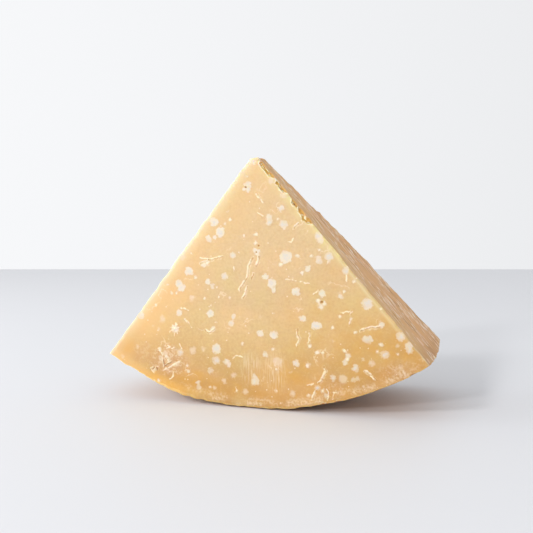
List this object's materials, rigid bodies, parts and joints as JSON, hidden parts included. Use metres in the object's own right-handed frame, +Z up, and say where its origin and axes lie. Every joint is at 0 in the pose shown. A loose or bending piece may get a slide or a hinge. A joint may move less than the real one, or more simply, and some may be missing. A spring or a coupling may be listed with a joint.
{
  "type": "grana cheese chunk",
  "caption": "Sector-shaped chunk of hard grana cheese standing on its curved rind, tip up, with a smooth front cut and a crumbled right edge near the tip.",
  "frame": {"origin": "middle of the small flat that the rind rests on, straight under the axis of the wheel the chunk was cut from", "axes": "+Z up; the front cut faces -Y; +X to the right along the front cut"},
  "size_m": [0.1962, 0.0839, 0.1455],
  "materials": {
    "cheese": "slightly waxy hard cheese, matt, with pale crystals"
  },
  "bodies": {
    "root": {"grana_chunk": "cheese"}
  },
  "joints": []
}
